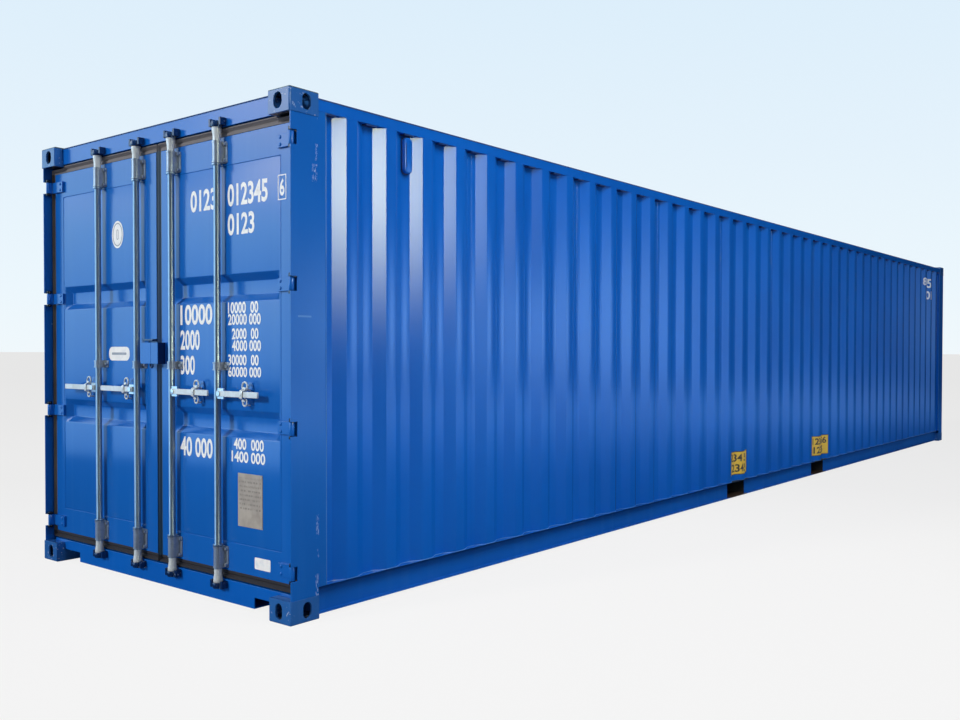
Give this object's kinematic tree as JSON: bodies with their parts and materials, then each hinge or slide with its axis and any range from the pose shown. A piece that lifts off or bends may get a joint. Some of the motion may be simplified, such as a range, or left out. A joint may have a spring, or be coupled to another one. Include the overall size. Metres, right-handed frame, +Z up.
{
  "type": "forty foot shipping container",
  "caption": "Long corrugated steel freight container with hinged end doors, lock rods, corner castings and fork pockets.",
  "frame": {"origin": "middle of the footprint, level with the foot of the bottom corner castings", "axes": "+X along the length from the door end to the front end, +Y to the left side seen from outside the doors as the side where the left door hangs, +Z up"},
  "size_m": [12.192, 2.438, 2.591],
  "materials": {
    "painted_skin": "semi-gloss blue paint on corrugated steel",
    "painted_doors": "semi-gloss blue paint on steel doors",
    "painted_castings": "worn blue paint on cast steel",
    "dark_underframe": "dark bituminous paint",
    "keeper_paint": "dark blue paint",
    "galvanised": "galvanised steel",
    "gasket_rubber": "weathered rubber",
    "plywood": "sealed plywood",
    "plate_metal": "stamped metal plate"
  },
  "bodies": {
    "container": {"corner_castings_door_bottom": "painted_castings", "corner_castings_door_top": "painted_castings", "corner_castings_front_bottom": "painted_castings", "corner_castings_front_top": "painted_castings", "rear_posts": "painted_skin", "hinge_pins": "galvanised", "front_posts": "painted_skin", "door_header": "painted_skin", "door_sill": "painted_skin", "cam_keepers": "keeper_paint", "front_header": "painted_skin", "front_sill": "painted_skin", "front_sill_feet": "painted_skin", "front_wall": "painted_skin", "roof": "painted_skin", "floor": "plywood", "cross_members": "dark_underframe", "fork_pocket_tops": "dark_underframe", "fork_pocket_sides": "dark_underframe", "fork_pocket_straps": "dark_underframe", "tunnel_top": "dark_underframe", "tunnel_sides": "dark_underframe", "side_vents": "painted_skin", "top_rail_left": "painted_skin", "bottom_rail_left": "painted_skin", "side_wall_left": "painted_skin", "top_rail_right": "painted_skin", "bottom_rail_right": "painted_skin", "side_wall_right": "painted_skin"},
    "door_left": {"door_frame_left": "painted_doors", "door_panel_left": "painted_doors", "door_gasket_left": "gasket_rubber", "hinge_blades_left": "painted_doors", "rod_fittings_left": "galvanised", "lock_box_left": "painted_doors"},
    "lock_rod_left_outer": {"lock_rod_left_outer": "galvanised"},
    "handle_left_outer": {"handle_left_outer": "galvanised"},
    "lock_rod_left_inner": {"lock_rod_left_inner": "galvanised"},
    "handle_left_inner": {"handle_left_inner": "galvanised"},
    "door_right": {"door_frame_right": "painted_doors", "door_panel_right": "painted_doors", "door_gasket_right": "gasket_rubber", "hinge_blades_right": "painted_doors", "rod_fittings_right": "galvanised", "lock_box_right": "painted_doors", "data_plate": "plate_metal"},
    "lock_rod_right_outer": {"lock_rod_right_outer": "galvanised"},
    "handle_right_outer": {"handle_right_outer": "galvanised"},
    "lock_rod_right_inner": {"lock_rod_right_inner": "galvanised"},
    "handle_right_inner": {"handle_right_inner": "galvanised"}
  },
  "joints": [
    {"name": "door_left_hinge", "type": "hinge", "parent": "container", "child": "door_left", "pos_m": [-6.066, 1.194, 1.3], "axis": [0, 0, -1], "range_deg": [0, 250]},
    {"name": "door_right_hinge", "type": "hinge", "parent": "container", "child": "door_right", "pos_m": [-6.066, -1.194, 1.3], "axis": [0, 0, 1], "range_deg": [0, 250]},
    {"name": "lock_rod_left_outer_turn", "type": "hinge", "parent": "door_left", "child": "lock_rod_left_outer", "pos_m": [-6.066, 0.595, 1.3], "axis": [0, 0, -1], "range_deg": [-110, 0]},
    {"name": "handle_left_outer_lift", "type": "hinge", "parent": "lock_rod_left_outer", "child": "handle_left_outer", "pos_m": [-6.083, 0.634, 1.104], "axis": [-1, 0, 0], "range_deg": [-30, 0]},
    {"name": "lock_rod_left_inner_turn", "type": "hinge", "parent": "door_left", "child": "lock_rod_left_inner", "pos_m": [-6.066, 0.175, 1.3], "axis": [0, 0, -1], "range_deg": [-110, 0]},
    {"name": "handle_left_inner_lift", "type": "hinge", "parent": "lock_rod_left_inner", "child": "handle_left_inner", "pos_m": [-6.083, 0.214, 1.104], "axis": [-1, 0, 0], "range_deg": [-30, 0]},
    {"name": "lock_rod_right_outer_turn", "type": "hinge", "parent": "door_right", "child": "lock_rod_right_outer", "pos_m": [-6.066, -0.595, 1.3], "axis": [0, 0, 1], "range_deg": [-110, 0]},
    {"name": "handle_right_outer_lift", "type": "hinge", "parent": "lock_rod_right_outer", "child": "handle_right_outer", "pos_m": [-6.083, -0.634, 1.104], "axis": [1, 0, 0], "range_deg": [-30, 0]},
    {"name": "lock_rod_right_inner_turn", "type": "hinge", "parent": "door_right", "child": "lock_rod_right_inner", "pos_m": [-6.066, -0.175, 1.3], "axis": [0, 0, 1], "range_deg": [-110, 0]},
    {"name": "handle_right_inner_lift", "type": "hinge", "parent": "lock_rod_right_inner", "child": "handle_right_inner", "pos_m": [-6.083, -0.214, 1.104], "axis": [1, 0, 0], "range_deg": [-30, 0]}
  ]
}
